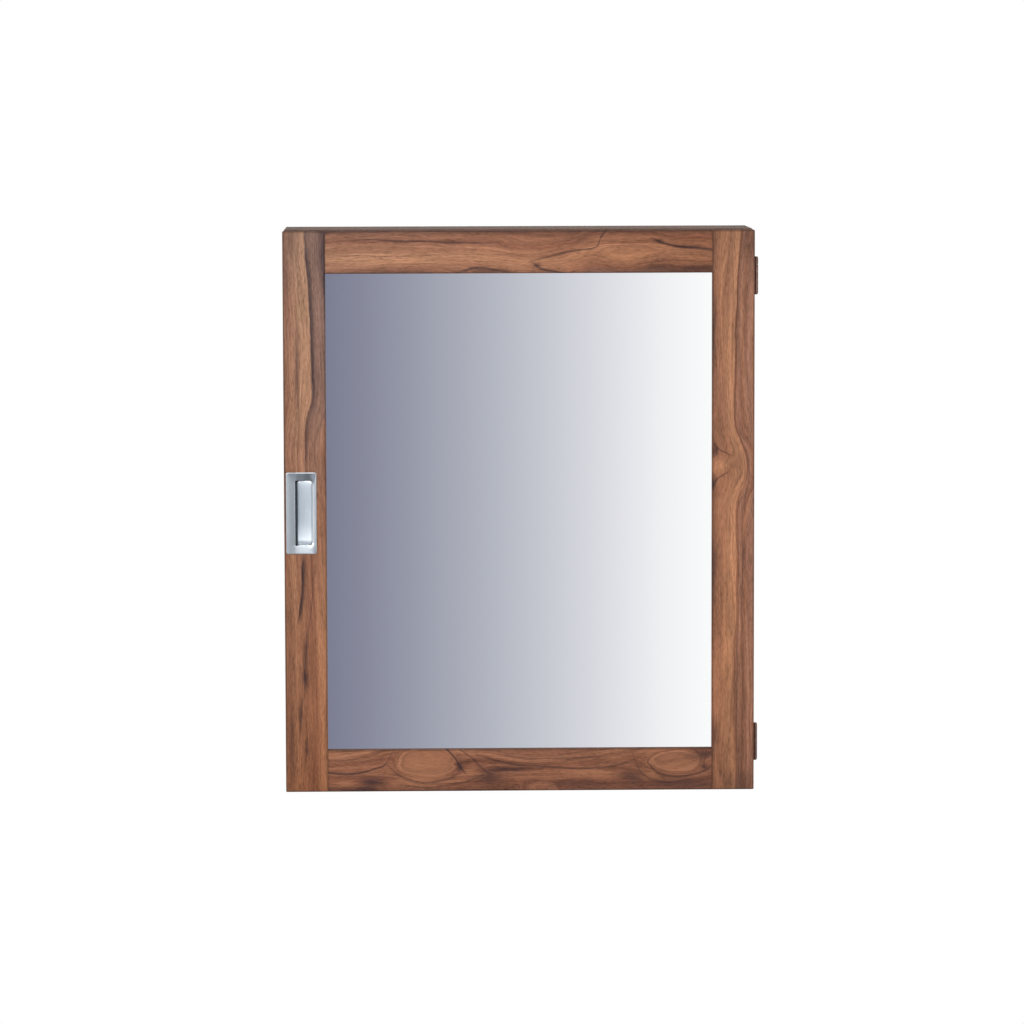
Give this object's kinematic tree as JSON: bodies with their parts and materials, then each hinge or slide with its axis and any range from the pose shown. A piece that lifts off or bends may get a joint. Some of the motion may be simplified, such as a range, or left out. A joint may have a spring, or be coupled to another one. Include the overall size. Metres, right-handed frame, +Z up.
{
  "type": "mirror cabinet",
  "caption": "Wall-hung timber cabinet with loose shelves behind a framed mirror door, opened by a flush metal pull and hung on butt hinges.",
  "frame": {"origin": "middle of the back panel, on the wall plane", "axes": "+X to the right as seen from the room, +Y into the wall, +Z up; the door faces -Y"},
  "size_m": [0.5051, 0.1207, 0.6],
  "materials": {
    "carcass_wood": "satin lacquered dark hardwood",
    "frame_wood": "satin lacquered dark hardwood with strong figure",
    "back_ply": "veneered plywood, satin",
    "backing_board": "hardboard, plain",
    "dowel_wood": "plain beech",
    "mirror": "silvered float glass",
    "satin_nickel": "satin nickel plate",
    "hinge_bronze": "dark bronzed",
    "zinc_steel": "zinc plated",
    "catch_plastic": "fine moulded texture",
    "ferrite": "sintered, matt",
    "bumper_rubber": "soft translucent dots"
  },
  "bodies": {
    "cabinet": {"side_left": "carcass_wood", "side_right": "carcass_wood", "top_panel": "carcass_wood", "bottom_panel": "carcass_wood", "back_panel": "back_ply", "hanging_rail": "carcass_wood", "shelf_upper": "carcass_wood", "shelf_lower": "carcass_wood", "shelf_pins": "zinc_steel", "carcass_dowels": "dowel_wood", "back_panel_screws": "zinc_steel", "hinge_upper_carcass_leaf": "hinge_bronze", "hinge_lower_carcass_leaf": "hinge_bronze", "hinge_upper_pin": "hinge_bronze", "hinge_lower_pin": "hinge_bronze", "carcass_hinge_screws": "hinge_bronze", "catch_housing": "catch_plastic", "catch_magnet": "ferrite", "catch_pole_plates": "zinc_steel", "catch_screws": "zinc_steel"},
    "door": {"stile_left": "frame_wood", "stile_right": "frame_wood", "rail_top": "frame_wood", "rail_bottom": "frame_wood", "mirror_pane": "mirror", "mirror_backing": "backing_board", "bead_top": "frame_wood", "bead_bottom": "frame_wood", "bead_left": "frame_wood", "bead_right": "frame_wood", "bead_pins": "zinc_steel", "hinge_upper_door_leaf": "hinge_bronze", "hinge_lower_door_leaf": "hinge_bronze", "door_hinge_screws": "hinge_bronze", "flush_pull": "satin_nickel", "pull_screws": "zinc_steel", "strike_plate": "zinc_steel", "strike_screw": "zinc_steel", "bumper_dots": "bumper_rubber"}
  },
  "joints": [
    {"name": "door_hinge", "type": "hinge", "parent": "cabinet", "child": "door", "pos_m": [0.2527, -0.099, 0], "axis": [0, 0, 1], "range_deg": [0, 180]}
  ]
}
